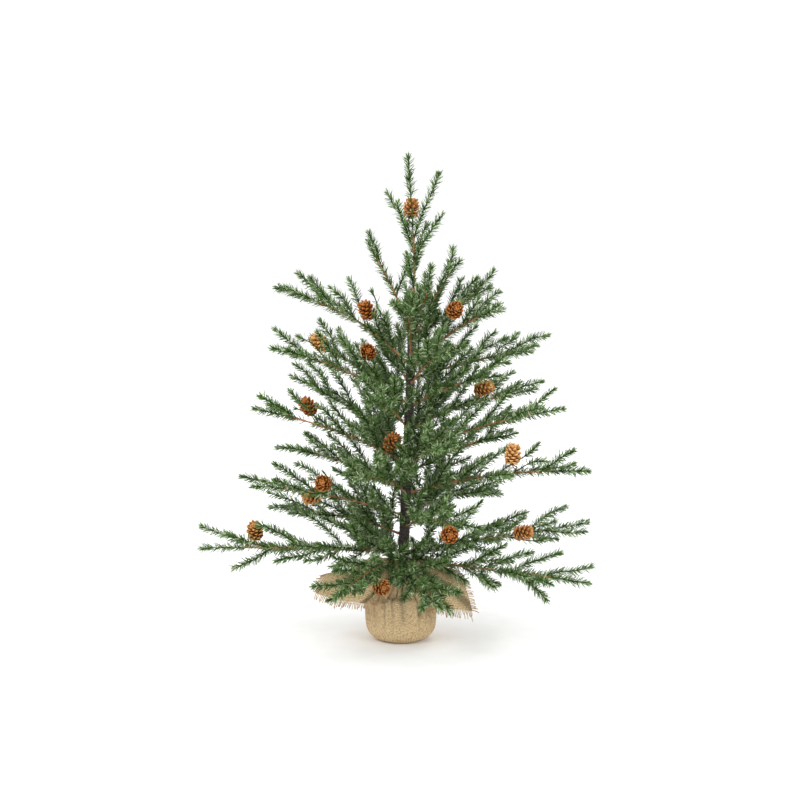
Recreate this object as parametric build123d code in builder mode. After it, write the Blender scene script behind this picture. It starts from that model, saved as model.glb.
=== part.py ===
"""Artificial tabletop pine tree: wire branches on a taped trunk, in a weighted base wrapped in burlap.

Millimetres, +Z up. The origin is the centre of the base's resting face, and the tree's front faces -Y.
Azimuths are in degrees from +X, anticlockwise seen from above.
"""

import os
from math import atan2, cos, degrees, hypot, radians, sin, tan

from build123d import *

# Weighted base
BASE_RADIUS = 44.0  # over the burlap
BASE_HEIGHT = 59.0
BASE_ROUNDING = 20.0  # of the bottom edge, over the burlap
BURLAP = 1.4  # thickness of the cloth with its gathers
CUP_WALL = 1.6
CUP_RIM = 56.0
FIT = 0.05  # gap between pieces that are pushed together
CEMENT_TOP = 46.0

# Trunk
TRUNK_FOOT = 10.0  # height at which the rod starts, in the cement
TRUNK_TOP = 404.0
TRUNK_LEAN = 2.1  # degrees, towards +X
ROD_RADIUS = 3.0
ROD_LENGTH = 392.0
WRAP_START = 50.0
WRAP_RADIUS_LOW = 7.2
WRAP_RADIUS_HIGH = 5.0

# Neck of the burlap, where it is tied round the trunk
NECK_LOW = 68.0
NECK_HIGH = 78.0
NECK_BORE = 8.0
NECK_RADIUS = 10.5
TWINE_RADIUS = 1.2
TWINE_TURNS = 3

# Branches: taped wire stems that carry twisted-wire sprigs
STEM_RADIUS = 1.6
SPRIG_RADIUS = 1.5
KNUCKLE_RADIUS = 2.2  # the round bend of the wire at the trunk
KNUCKLE_WIDTH = 5.0
KNUCKLE_GAP = 0.4
STEM_BEND = 60.0  # radius of the gentle bends along a stem
SPRIG_BEND = 28.0
FIRST_SPRIG = 20.0  # distance of the innermost sprig from the trunk
LAST_SPRIG = 0.78  # place of the outermost sprig along the stem
SPLAY_INNER = 46.0  # angle between a sprig and its stem
SPLAY_OUTER = 30.0
ROLL_INNER = 46.0  # how far the plane of a sprig is rolled up from level
ROLL_OUTER = 26.0
ROLL_SWING = 34.0

# name, root height, azimuth, reach, rise, arch, side sprigs, sprig length
BRANCHES = [
    ("right_1", 380, 18, 104, 66, 14, 7, 50),
    ("right_2", 352, -22, 118, 74, 18, 8, 54),
    ("right_3", 334, 24, 176, 32, 6, 9, 62),
    ("right_4", 302, -20, 122, 42, 12, 8, 56),
    ("right_5", 272, 22, 174, 40, 12, 9, 64),
    ("right_6", 246, -22, 202, 60, 8, 9, 66),
    ("right_7", 216, 24, 146, 42, 10, 8, 62),
    ("right_8", 190, -20, 234, 42, 14, 10, 68),
    ("right_9", 162, 22, 132, 16, 20, 8, 60),
    ("right_10", 112, 18, 250, 20, 2, 10, 72),
    ("right_11", 104, -26, 248, -6, 0, 10, 72),
    ("left_1", 356, 160, 176, 86, 26, 9, 64),
    ("left_2", 306, -160, 178, 74, 14, 9, 64),
    ("left_3", 298, 154, 134, 80, 10, 8, 58),
    ("left_4", 248, 160, 156, 82, 10, 8, 62),
    ("left_5", 230, -160, 198, 76, 14, 9, 66),
    ("left_6", 194, 158, 160, 42, 14, 8, 62),
    ("left_7", 162, -156, 202, 50, 12, 10, 68),
    ("left_8", 136, 160, 182, 22, 12, 9, 64),
    ("left_9", 114, -170, 254, 14, 0, 10, 78),
    ("front_1", 366, -92, 84, 60, 14, 7, 48),
    ("front_2", 330, -68, 112, 48, 14, 8, 54),
    ("front_3", 274, -112, 130, 50, 14, 8, 58),
    ("front_4", 224, -68, 140, 44, 14, 8, 60),
    ("front_5", 192, -112, 152, 40, 14, 9, 62),
    ("front_6", 148, -66, 162, 26, 14, 9, 64),
    ("front_7", 108, -118, 172, -16, 8, 9, 62),
    ("front_8", 100, -74, 158, -24, 10, 8, 58),
    ("back_1", 366, 88, 92, 58, 14, 7, 50),
    ("back_2", 326, 110, 124, 50, 14, 8, 58),
    ("back_3", 262, 66, 142, 46, 14, 8, 60),
    ("back_4", 214, 112, 158, 40, 14, 9, 62),
    ("back_5", 150, 68, 172, 30, 14, 9, 64),
    ("back_6", 108, 112, 186, 8, 10, 9, 64),
    ("crown_1", 400, 182, 54, 104, 8, 2, 48),
    ("crown_2", 394, -6, 58, 86, 6, 3, 44),
    ("crown_3", 388, -62, 46, 66, 6, 2, 42),
]

# Leader: its stem and its side sprigs, as offsets from the top of the trunk
LEADER_STEM = [(0, 0, 3), (2, 0, 66), (0, 0, 136), (-5, 0, 204)]
LEADER_SPRIGS = [
    ((0, 0, 108), (-14, 4, 134), (-31, 6, 160)),
    ((0, 0, 94), (-9, -10, 122), (-19, -16, 147)),
    ((1, 0, 102), (14, -4, 146), (34, -8, 184)),
    ((2, 0, 74), (13, -6, 100), (34, -10, 134)),
    ((2, 0, 66), (8, 8, 94), (18, 14, 122)),
    ((2, 0, 42), (-2, -12, 64), (-6, -22, 84)),
]

# carrier, centre, direction from base to tip
CONES = [
    ("leader", (13, 17, 545), (0.1, 0.1, 1.0)),
    ("right_2", (66, -54, 425), (0.2, -0.9, 0.35)),
    ("left_1", (-42, 12, 418), (-0.4, -0.2, 0.8)),
    ("left_2", (-100, -18, 381), (-0.6, -0.2, 0.7)),
    ("left_2", (-41, -32, 371), (0.1, -0.9, 0.3)),
    ("right_5", (104, 10, 320), (0.8, -0.4, 0.35)),
    ("left_5", (-114, -34, 303), (-0.5, -0.3, 0.7)),
    ("left_5", (-11, -28, 258), (0.4, -0.6, 0.6)),
    ("right_8", (138, -55, 246), (0.1, -0.1, 1.0)),
    ("left_7", (-95, -78, 215), (-0.1, -0.9, 0.3)),
    ("left_7", (-110, -22, 189), (-0.8, -0.2, -0.2)),
    ("left_9", (-183, -26, 144), (-0.1, -0.5, 0.8)),
    ("front_6", (58, -150, 166), (0.1, -0.9, 0.1)),
    ("right_10", (156, 27, 131), (0.9, -0.2, 0.2)),
    ("front_7", (-24, -104, 91), (0.3, -0.9, 0.1)),
]
CONE_LENGTH = 26.0
CONE_RADIUS = 11.5
CONE_ROWS = 6  # rings of scales
CONE_STEP = 1.2  # how far each ring stands out over the next
CONE_LIP_PLACE = 0.62  # of a ring's lip, as a share of the ring's height
CONE_BLUNT_BASE = 0.1  # shares of the half turn that the outline leaves out at each end
CONE_BLUNT_TIP = 0.04
CONE_FULLNESS = 0.6
CONE_END_FACE = 0.02
PICK_RADIUS = 0.6
PICK_FROM_AXIS = 1.75  # from the middle of the branch wire to the wire pick's end
PICK_IN_CONE = 1.0

# Burlap corners: azimuth, then (distance out, half width, ridge height, hem height) at each section
FLAPS = [
    (-167, [(11, 8, 84, 78), (46, 27, 90, 66), (88, 33, 88, 56), (114, 8, 66, 60)]),
    (-14, [(11, 8, 84, 78), (46, 27, 89, 64), (82, 32, 86, 48), (98, 12, 62, 44)]),
    (62, [(11, 8, 84, 78), (46, 27, 88, 65), (84, 30, 82, 50), (104, 8, 58, 50)]),
    (118, [(11, 8, 84, 78), (46, 27, 88, 65), (84, 30, 84, 52), (106, 8, 60, 52)]),
]
FLAP_THICKNESS = 2.0
FLARE_HEIGHT = 6.0  # of the cloth just above its tie
FLARE_ANGLE = 30.0


def trunk_x(height):
    """Where the leaning trunk's axis is at this height."""
    return (height - TRUNK_FOOT) * tan(radians(TRUNK_LEAN))


def trunk_radius(height):
    share = (height - WRAP_START) / (TRUNK_TOP - WRAP_START)
    return WRAP_RADIUS_LOW + (WRAP_RADIUS_HIGH - WRAP_RADIUS_LOW) * share


def stepped(point, heading, elevation, length):
    """The point this far from another, in a direction given in degrees."""
    level = length * cos(radians(elevation))
    x = point[0] + level * cos(radians(heading))
    y = point[1] + level * sin(radians(heading))
    return (x, y, point[2] + length * sin(radians(elevation)))


def bezier(points, t):
    a, b, c = points
    return tuple((1 - t) ** 2 * p + 2 * t * (1 - t) * q + t * t * r for p, q, r in zip(a, b, c))


def bezier_elevation(points, t):
    """The slope of a branch's curve at t, in degrees above level."""
    a, b, c = points
    dx, dy, dz = (2 * (1 - t) * (q - p) + 2 * t * (r - q) for p, q, r in zip(a, b, c))
    return degrees(atan2(dz, hypot(dx, dy)))


def branch_curve(row):
    """The control points of a branch's curve: the hinge at the trunk, the arch and the tip."""
    _, height, azimuth, reach, rise, arch, _, _ = row
    hinge_out = trunk_radius(height) + KNUCKLE_GAP + KNUCKLE_RADIUS
    places = [(hinge_out, height), (0.42 * reach, height + 0.42 * rise + arch), (reach, height + rise)]
    axis_x = trunk_x(height)
    return [
        (axis_x + out * cos(radians(azimuth)), out * sin(radians(azimuth)), z) for out, z in places
    ]


def branch_sprigs(row, number):
    """The start, bend and end of each side sprig. They take turns left and right, and none are alike."""
    _, _, azimuth, reach, _, _, count, length = row
    curve = branch_curve(row)
    first = min(0.5, FIRST_SPRIG / reach)
    sprigs = []
    for k in range(count):
        along = k / max(count - 1, 1)
        t = first + (LAST_SPRIG - first) * along
        side = 1 if (k + number) % 2 else -1
        splay = SPLAY_INNER + (SPLAY_OUTER - SPLAY_INNER) * along + 5 * sin(2.4 * number + 1.9 * k)
        roll = ROLL_INNER + (ROLL_OUTER - ROLL_INNER) * along + ROLL_SWING * sin(1.7 * number + 2.3 * k)
        sideways = side * splay * cos(radians(roll))
        upwards = splay * sin(radians(roll))
        size = length * (0.94 - 0.10 * along + 0.10 * sin(3.1 * k + number))
        slope = bezier_elevation(curve, t)
        start = bezier(curve, t)
        bend = stepped(start, azimuth + 1.25 * sideways, slope + 1.1 * upwards, 0.45 * size)
        end = stepped(bend, azimuth + 0.75 * sideways, slope + 0.75 * upwards, 0.55 * size)
        sprigs.append((start, bend, end))
    return sprigs


def leader_wires():
    """The leader's stem and sprigs, in place on the trunk."""
    top = (trunk_x(TRUNK_TOP), 0, TRUNK_TOP)
    return [
        [tuple(base + offset for base, offset in zip(top, point)) for point in wire]
        for wire in [LEADER_STEM, *LEADER_SPRIGS]
    ]


def branch_wires(row, number):
    """Each wire of a branch as its points: the stem to its tip first, then the side sprigs."""
    curve = branch_curve(row)
    stem = [bezier(curve, t) for t in (0, 0.3, 0.65, 1)]
    return [stem, *branch_sprigs(row, number)]


def spray(label, wires, hinge, azimuth):
    """A branch or the leader: its knuckle across the hinge point, its stem and its sprigs, as one solid."""
    across = (-sin(radians(azimuth)), cos(radians(azimuth)), 0)
    with BuildPart() as piece:
        with BuildSketch(Plane(origin=hinge, z_dir=across)):
            Circle(KNUCKLE_RADIUS)
        extrude(amount=KNUCKLE_WIDTH / 2, both=True)
        for number, points in enumerate(wires):
            is_stem = number == 0
            with BuildLine() as path:
                FilletPolyline(*points, radius=STEM_BEND if is_stem else SPRIG_BEND)
            with BuildSketch(Plane(origin=path.line @ 0, z_dir=path.line % 0)):
                Circle(STEM_RADIUS if is_stem else SPRIG_RADIUS)
            sweep(path=path.line)
    piece.part.label = label
    return piece.part


def nearest_wire_point(place, wires):
    """The point on a branch's wires that is closest to a place."""
    spots = []
    for points in wires:
        for start, end in zip(points[:-1], points[1:]):
            run = Edge.make_line(start, end)
            spots += [run @ (step / 20) for step in range(21)]
    return min(spots, key=lambda spot: (spot - place).length)


def pine_cone(label, centre, direction, wires):
    """A cone of ringed scales round its axis, and the wire pick that holds it to its branch."""
    axis = Vector(*direction).normalized()
    base = Vector(*centre) - axis * (CONE_LENGTH / 2)
    ring = CONE_LENGTH / CONE_ROWS
    outline = [(0, 0)]
    for row in range(CONE_ROWS):
        for edge, lip in ((0, 0), (CONE_LIP_PLACE, CONE_STEP)):
            up = (row + edge) * ring
            share = CONE_BLUNT_BASE + (1 - CONE_BLUNT_BASE - CONE_BLUNT_TIP) * up / CONE_LENGTH
            swell = sin(radians(180) * share) ** CONE_FULLNESS
            outline.append(((CONE_RADIUS - CONE_STEP) * swell + lip, up + CONE_END_FACE))
    outline.append((0, CONE_LENGTH))
    across = axis.cross(Vector(0, 0, 1)) if abs(axis.Z) < 0.95 else axis.cross(Vector(0, 1, 0))
    held_at = nearest_wire_point(base, wires)
    pick = base - held_at
    with BuildPart() as piece:
        with BuildSketch(Plane(origin=base, x_dir=across.normalized(), z_dir=across.cross(axis).normalized())):
            with BuildLine():
                Polyline(*outline, close=True)
            make_face()
        revolve(axis=Axis(base, axis))
        pick_start = held_at + pick.normalized() * PICK_FROM_AXIS
        with BuildSketch(Plane(origin=pick_start, z_dir=pick)):
            Circle(PICK_RADIUS)
        extrude(amount=pick.length - PICK_FROM_AXIS + PICK_IN_CONE)
    piece.part.label = label
    return piece.part


def drum_outline(radius, rounding, bottom, top):
    """Half of an upright section of a drum with a rounded bottom edge, as a closed line in XZ."""
    Line((0, bottom), (radius - rounding, bottom))
    RadiusArc((radius - rounding, bottom), (radius, bottom + rounding), -rounding)
    Polyline((radius, bottom + rounding), (radius, top), (0, top), (0, bottom))


def base_weight():
    radius = BASE_RADIUS - BURLAP - CUP_WALL - 2 * FIT
    rounding = BASE_ROUNDING - BURLAP - CUP_WALL
    with BuildPart() as piece:
        with BuildSketch(Plane.XZ):
            with BuildLine():
                drum_outline(radius, rounding, BURLAP + CUP_WALL + 2 * FIT, CEMENT_TOP)
            make_face()
        revolve(axis=Axis.Z)
        rod_line = Plane(origin=(0, 0, TRUNK_FOOT), z_dir=(sin(radians(TRUNK_LEAN)), 0, cos(radians(TRUNK_LEAN))))
        with BuildSketch(rod_line):
            Circle(ROD_RADIUS)
        extrude(amount=CEMENT_TOP, mode=Mode.SUBTRACT)
    piece.part.label = "base_weight"
    return piece.part


def base_cup():
    radius = BASE_RADIUS - BURLAP - FIT
    rounding = BASE_ROUNDING - BURLAP
    with BuildPart() as piece:
        with BuildSketch(Plane.XZ):
            with BuildLine():
                drum_outline(radius, rounding, BURLAP + FIT, CUP_RIM)
            make_face()
        revolve(axis=Axis.Z)
        with BuildSketch(Plane.XZ):
            with BuildLine():
                drum_outline(
                    radius - CUP_WALL, rounding - CUP_WALL, BURLAP + CUP_WALL + FIT, CUP_RIM + 1
                )
            make_face()
        revolve(axis=Axis.Z, mode=Mode.SUBTRACT)
    piece.part.label = "base_cup"
    return piece.part


def neck_centre():
    return trunk_x((NECK_LOW + NECK_HIGH) / 2)


def flap(azimuth, sections):
    """One hanging corner of the cloth: a thin arch that widens from the neck and drops to its tip."""
    heading = (cos(radians(azimuth)), sin(radians(azimuth)), 0)
    with BuildPart() as corner:
        for out, half, ridge, hem in sections:
            origin = (neck_centre() + out * heading[0], out * heading[1], 0)
            inner = half - FLAP_THICKNESS
            with BuildSketch(Plane(origin=origin, x_dir=(-heading[1], heading[0], 0), z_dir=heading)):
                with BuildLine():
                    ThreePointArc((-half, hem), (0, ridge), (half, hem))
                    Line((half, hem), (inner, hem))
                    ThreePointArc((inner, hem), (0, ridge - FLAP_THICKNESS), (-inner, hem))
                    Line((-inner, hem), (-half, hem))
                make_face()
        loft(ruled=True)
    return corner.part


def burlap_wrap():
    """The burlap from the bottom of the cup, up its side and gathered in to the neck."""
    with BuildPart() as piece:
        with BuildSketch(Plane.XZ):
            with BuildLine():
                drum_outline(BASE_RADIUS, BASE_ROUNDING, 0, BASE_HEIGHT)
            make_face()
        revolve(axis=Axis.Z)
        with BuildSketch(Plane.XY.offset(BASE_HEIGHT)):
            Circle(BASE_RADIUS)
        with BuildSketch(Plane.XY.offset(NECK_LOW)):
            with Locations((neck_centre(), 0)):
                Circle(NECK_RADIUS)
        loft(ruled=True)
        with BuildSketch(Plane.XY.offset(NECK_LOW)):
            with Locations((neck_centre(), 0)):
                Circle(NECK_RADIUS)
        extrude(amount=NECK_HIGH - NECK_LOW)
        with BuildSketch(Plane.XZ):
            with BuildLine():
                drum_outline(BASE_RADIUS - BURLAP, BASE_ROUNDING - BURLAP, BURLAP, BASE_HEIGHT - BURLAP)
            make_face()
        revolve(axis=Axis.Z, mode=Mode.SUBTRACT)
        with BuildSketch(Plane.XY.offset(BASE_HEIGHT - BURLAP)):
            Circle(BASE_RADIUS - BURLAP)
        with BuildSketch(Plane.XY.offset(NECK_LOW - BURLAP)):
            with Locations((neck_centre(), 0)):
                Circle(NECK_BORE)
        loft(ruled=True, mode=Mode.SUBTRACT)
        with BuildSketch(Plane.XY.offset(NECK_LOW - 2 * BURLAP)):
            with Locations((neck_centre(), 0)):
                Circle(NECK_BORE)
        extrude(amount=NECK_HIGH, mode=Mode.SUBTRACT)
    piece.part.label = "burlap_wrap"
    return piece.part


def burlap_corners():
    """The burlap above its tie: it flares from the neck, and its four corners hang outwards."""
    with BuildPart() as piece:
        with BuildSketch(Plane.XY.offset(NECK_HIGH + FIT)):
            with Locations((neck_centre(), 0)):
                Circle(NECK_RADIUS)
        extrude(amount=FLARE_HEIGHT, taper=-FLARE_ANGLE)
        for azimuth, sections in FLAPS:
            add(flap(azimuth, sections))
        with BuildSketch(Plane.XY):
            with Locations((neck_centre(), 0)):
                Circle(NECK_BORE)
        extrude(amount=2 * NECK_HIGH, mode=Mode.SUBTRACT)
    piece.part.label = "burlap_corners"
    return piece.part


def neck_tie():
    """Turns of twine that hold the burlap in against the trunk."""
    middle = (NECK_LOW + NECK_HIGH) / 2
    with BuildPart() as piece:
        for turn in range(TWINE_TURNS):
            height = middle + (turn - (TWINE_TURNS - 1) / 2) * 1.9 * TWINE_RADIUS
            with BuildSketch(Plane(origin=(neck_centre(), 0, height), x_dir=(1, 0, 0), z_dir=(0, -1, 0))):
                with Locations((NECK_RADIUS + TWINE_RADIUS + FIT, 0)):
                    Circle(TWINE_RADIUS)
            revolve(axis=Axis((neck_centre(), 0, 0), (0, 0, 1)))
    piece.part.label = "neck_tie"
    return piece.part


def along_trunk(height):
    """The plane across the leaning trunk at this height."""
    return Plane(
        origin=(trunk_x(height), 0, height),
        z_dir=(sin(radians(TRUNK_LEAN)), 0, cos(radians(TRUNK_LEAN))),
    )


def trunk_rod():
    with BuildPart() as piece:
        with BuildSketch(along_trunk(TRUNK_FOOT + FIT)):
            Circle(ROD_RADIUS - FIT)
        extrude(amount=ROD_LENGTH)
    piece.part.label = "trunk_rod"
    return piece.part


def trunk_wrap():
    """Tape wound over the rod and the feet of the branch wires, thinner towards the top."""
    with BuildPart() as piece:
        with BuildSketch(along_trunk(WRAP_START)):
            Circle(WRAP_RADIUS_LOW)
        with BuildSketch(along_trunk(TRUNK_TOP)):
            Circle(WRAP_RADIUS_HIGH)
        loft()
        with BuildSketch(along_trunk(TRUNK_FOOT)):
            Circle(ROD_RADIUS)
        extrude(amount=ROD_LENGTH + 2 * FIT, mode=Mode.SUBTRACT)
    piece.part.label = "trunk_wrap"
    return piece.part


def all_parts():
    """Every piece of the tree by its node name."""
    parts = [base_weight(), base_cup(), burlap_wrap(), burlap_corners(), neck_tie(), trunk_rod(), trunk_wrap()]
    wires_of = {"leader": leader_wires()}
    hinge = wires_of["leader"][0][0]
    parts.append(spray("top_leader", wires_of["leader"], hinge, 0))
    for number, row in enumerate(BRANCHES):
        wires_of[row[0]] = branch_wires(row, number)
        hinge = wires_of[row[0]][0][0]
        parts.append(spray(f"branch_{row[0]}", wires_of[row[0]], hinge, row[2]))
    for number, (carrier, centre, direction) in enumerate(CONES, start=1):
        parts.append(pine_cone(f"cone_{number:02d}", centre, direction, wires_of[carrier]))
    return parts


os.makedirs("parts", exist_ok=True)
for part in all_parts():
    export_step(part, f"parts/{part.label}.step")
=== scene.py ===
"""The looks of an artificial tabletop pine tree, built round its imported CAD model.

The tree's own sizes are in millimetres, as in the CAD, and every mesh is scaled to metres as it is made.
+Z is up, and the tree's front faces -Y. Azimuths are in degrees from +X, anticlockwise from above.
"""

from math import atan2, cos, degrees, hypot, pi, radians, sin, tan

import bpy
import numpy as np
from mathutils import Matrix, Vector


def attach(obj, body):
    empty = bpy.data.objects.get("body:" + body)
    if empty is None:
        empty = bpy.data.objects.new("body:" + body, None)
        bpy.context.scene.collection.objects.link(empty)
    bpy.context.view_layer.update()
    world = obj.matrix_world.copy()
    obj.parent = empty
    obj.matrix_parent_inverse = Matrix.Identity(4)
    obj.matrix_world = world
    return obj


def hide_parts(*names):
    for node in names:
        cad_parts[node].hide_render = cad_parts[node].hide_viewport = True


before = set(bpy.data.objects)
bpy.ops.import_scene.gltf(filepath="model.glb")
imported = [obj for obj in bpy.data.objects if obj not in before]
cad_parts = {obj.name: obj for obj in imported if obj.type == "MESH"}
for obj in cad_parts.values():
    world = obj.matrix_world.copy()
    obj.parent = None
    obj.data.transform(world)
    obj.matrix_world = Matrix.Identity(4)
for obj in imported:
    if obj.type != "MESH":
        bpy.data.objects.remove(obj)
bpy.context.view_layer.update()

MM = 0.001
GOLDEN_ANGLE = radians(137.508)

# Base and trunk
BASE_RADIUS = 44.0
BASE_ROUNDING = 20.0
SHOULDER = 57.0
TRUNK_FOOT = 10.0
TRUNK_TOP = 404.0
TRUNK_LEAN = 2.1
WRAP_START = 50.0
WRAP_RADIUS_LOW = 7.2
WRAP_RADIUS_HIGH = 5.0
TRUNK_SIDES = 44
TAPE_PITCH = 4.6  # of the turns of the trunk's tape
STEM_TAPE_PITCH = 3.4
NECK_LOW = 68.0
NECK_HIGH = 78.0
NECK_RADIUS = 10.5
TWINE_TURNS = 3.0

# Branches
KNUCKLE_RADIUS = 2.2
KNUCKLE_GAP = 0.4
FIRST_SPRIG = 20.0
LAST_SPRIG = 0.78
SPLAY_INNER = 46.0
SPLAY_OUTER = 30.0
ROLL_INNER = 46.0
ROLL_OUTER = 26.0
ROLL_SWING = 34.0
LOWEST_WHORL = 119.0  # root height up to which branches have drooping twigs
UPPER_WHORL = 350.0  # root height from which branches have only one inner twig
INNER_TWIGS = (0.06, 0.12, 0.2)  # places of the twigs that cross in front of the trunk
TOP_TWIGS = (0.2,)
LOW_TWIGS = (0.2, 0.34, 0.46, 0.58, 0.7)  # places of the drooping twigs along the lowest branches
FRONT_TWIGS = (0.1, 0.16, 0.22, 0.28, 0.34, 0.42, 0.5, 0.6, 0.7)

# name, root height, azimuth, reach, rise, arch, side sprigs, sprig length
BRANCHES = [
    ("right_1", 380, 18, 104, 66, 14, 7, 50),
    ("right_2", 352, -22, 118, 74, 18, 8, 54),
    ("right_3", 334, 24, 176, 32, 6, 9, 62),
    ("right_4", 302, -20, 122, 42, 12, 8, 56),
    ("right_5", 272, 22, 174, 40, 12, 9, 64),
    ("right_6", 246, -22, 202, 60, 8, 9, 66),
    ("right_7", 216, 24, 146, 42, 10, 8, 62),
    ("right_8", 190, -20, 234, 42, 14, 10, 68),
    ("right_9", 162, 22, 132, 16, 20, 8, 60),
    ("right_10", 112, 18, 250, 20, 2, 10, 72),
    ("right_11", 104, -26, 248, -6, 0, 10, 72),
    ("left_1", 356, 160, 176, 86, 26, 9, 64),
    ("left_2", 306, -160, 178, 74, 14, 9, 64),
    ("left_3", 298, 154, 134, 80, 10, 8, 58),
    ("left_4", 248, 160, 156, 82, 10, 8, 62),
    ("left_5", 230, -160, 198, 76, 14, 9, 66),
    ("left_6", 194, 158, 160, 42, 14, 8, 62),
    ("left_7", 162, -156, 202, 50, 12, 10, 68),
    ("left_8", 136, 160, 182, 22, 12, 9, 64),
    ("left_9", 114, -170, 254, 14, 0, 10, 78),
    ("front_1", 366, -92, 84, 60, 14, 7, 48),
    ("front_2", 330, -68, 112, 48, 14, 8, 54),
    ("front_3", 274, -112, 130, 50, 14, 8, 58),
    ("front_4", 224, -68, 140, 44, 14, 8, 60),
    ("front_5", 192, -112, 152, 40, 14, 9, 62),
    ("front_6", 148, -66, 162, 26, 14, 9, 64),
    ("front_7", 108, -118, 172, -16, 8, 9, 62),
    ("front_8", 100, -74, 158, -24, 10, 8, 58),
    ("back_1", 366, 88, 92, 58, 14, 7, 50),
    ("back_2", 326, 110, 124, 50, 14, 8, 58),
    ("back_3", 262, 66, 142, 46, 14, 8, 60),
    ("back_4", 214, 112, 158, 40, 14, 9, 62),
    ("back_5", 150, 68, 172, 30, 14, 9, 64),
    ("back_6", 108, 112, 186, 8, 10, 9, 64),
    ("crown_1", 400, 182, 54, 104, 8, 2, 48),
    ("crown_2", 394, -6, 58, 86, 6, 3, 44),
    ("crown_3", 388, -62, 46, 66, 6, 2, 42),
]

# Leader: its stem and its side sprigs, as offsets from the top of the trunk
LEADER_STEM = [(0, 0, 3), (2, 0, 66), (0, 0, 136), (-5, 0, 204)]
LEADER_SPRIGS = [
    ((0, 0, 108), (-14, 4, 134), (-31, 6, 160)),
    ((0, 0, 94), (-9, -10, 122), (-19, -16, 147)),
    ((1, 0, 102), (14, -4, 146), (34, -8, 184)),
    ((2, 0, 74), (13, -6, 100), (34, -10, 134)),
    ((2, 0, 66), (8, 8, 94), (18, 14, 122)),
    ((2, 0, 42), (-2, -12, 64), (-6, -22, 84)),
]

# carrier, centre, direction from base to tip, paleness (0 dark brown, 1 golden tan)
CONES = [
    ("leader", (13, 17, 545), (0.1, 0.1, 1.0), 0.45),
    ("right_2", (66, -54, 425), (0.2, -0.9, 0.35), 0.15),
    ("left_1", (-42, 12, 418), (-0.4, -0.2, 0.8), 0.1),
    ("left_2", (-100, -18, 381), (-0.6, -0.2, 0.7), 1.0),
    ("left_2", (-41, -32, 371), (0.1, -0.9, 0.3), 0.0),
    ("right_5", (104, 10, 320), (0.8, -0.4, 0.35), 0.85),
    ("left_5", (-114, -34, 303), (-0.5, -0.3, 0.7), 0.1),
    ("left_5", (-11, -28, 258), (0.4, -0.6, 0.6), 0.3),
    ("right_8", (138, -55, 246), (0.1, -0.1, 1.0), 1.3),
    ("left_7", (-95, -78, 215), (-0.1, -0.9, 0.3), 0.2),
    ("left_7", (-110, -22, 189), (-0.8, -0.2, -0.2), 0.5),
    ("left_9", (-183, -26, 144), (-0.1, -0.5, 0.8), 0.75),
    ("front_6", (58, -150, 166), (0.1, -0.9, 0.1), 0.1),
    ("right_10", (156, 27, 131), (0.9, -0.2, 0.2), 0.6),
    ("front_7", (-24, -104, 91), (0.3, -0.9, 0.1), 0.25),
]
CONE_CENTRES = np.array([cone[1] for cone in CONES], dtype=float)
CONE_LENGTH = 26.0
CONE_RADIUS = 11.4
CONE_SCALES = 62
CONE_CORE = 4.6  # radius of the core that the scales stand on
SCALE_WIDTH = 7.4  # of a cone's lowest scales
PICK_RADIUS = 0.6
CLEARING = 23.0  # distance from a cone's middle within which only a few needles are left

# Needles: narrow folded strips held in the twist of each wire
NEEDLE_LENGTH = 8.4
NEEDLE_WIDTH = 1.3
NEEDLE_RIDGE = 0.36  # height of the fold along a needle's middle
NEEDLES_PER_MM = 2.6
NEEDLE_LEAN = 57.0  # degrees from the wire
TUFT = 9  # needles at the very end of each wire
CORE_RADIUS = 0.75  # of the twisted wire that the needles stand on
TAPE_RADIUS = 1.35  # of a stem wrapped in paper tape
BARE_STEM = 15.0  # bare length of a branch at the trunk

# Burlap: a square of cloth, woven part first, then its fringe
CLOTH = 328.0
CLOTH_SHIFT = (-8.0, -6.0)  # of the cloth's middle from the pot's, towards its longest corner
FRINGE = 7.5
YARN_STEP = 2.1  # between the yarns of the fringe
CLOTH_GRID = 186
CLOTH_THICKNESS = 0.9
WEAVE_PITCH = 2.1
NECK_START = 122.0  # distances from the cloth's middle to where its tie starts and ends
NECK_END = 132.0
PLEATS = 22
RUFFLE = 0.30  # depth of the gathered cloth's waves, as a share of each wave's cloth
# azimuth and width in degrees of the two deep creases in the drum's front, which also get painted shade
SLITS = [(-58.0, 3.6), (-38.0, 3.2)]
# stretches of each edge, as shares of its length, where loose yarns still cross the fringe
LOOSE_YARNS = [[], [], [(0.62, 0.97)], [(0.03, 0.2)]]
# depth of the pleats' creases, and height of the humps between them, by distance from the cloth's middle
CREASE_AT = [0, 44, 70, 88, 95, 103, 112, 119, 124, 133]
CREASE_DEPTH = [0, 0, 0.3, 0.5, 0.8, 8, 11, 8, 2, 1.5]
HUMP_AT = [0, 40, 56, 70, 92, 112, 122, 133]
HUMP_HEIGHT = [0, 0, 0.9, 1.9, 2.4, 1.6, 1.6, 1.2]
# world azimuth of each corner's fold, azimuth of the corner itself, radius of the arch over the fold, droop
CORNERS = [
    (-10, -34, 22.0, 0.0042),
    (62, 60, 24.0, 0.004),
    (118, 122, 24.0, 0.004),
    (190, 206, 23.0, 0.001),
]


# ---------- shapes shared with the CAD


def trunk_x(height):
    """Where the leaning trunk's axis is at this height."""
    return (height - TRUNK_FOOT) * tan(radians(TRUNK_LEAN))


def trunk_radius(height):
    share = (height - WRAP_START) / (TRUNK_TOP - WRAP_START)
    return WRAP_RADIUS_LOW + (WRAP_RADIUS_HIGH - WRAP_RADIUS_LOW) * share


def stepped(point, heading, elevation, length):
    level = length * cos(radians(elevation))
    x = point[0] + level * cos(radians(heading))
    y = point[1] + level * sin(radians(heading))
    return (x, y, point[2] + length * sin(radians(elevation)))


def bezier(points, t):
    a, b, c = points
    return tuple((1 - t) ** 2 * p + 2 * t * (1 - t) * q + t * t * r for p, q, r in zip(a, b, c))


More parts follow.
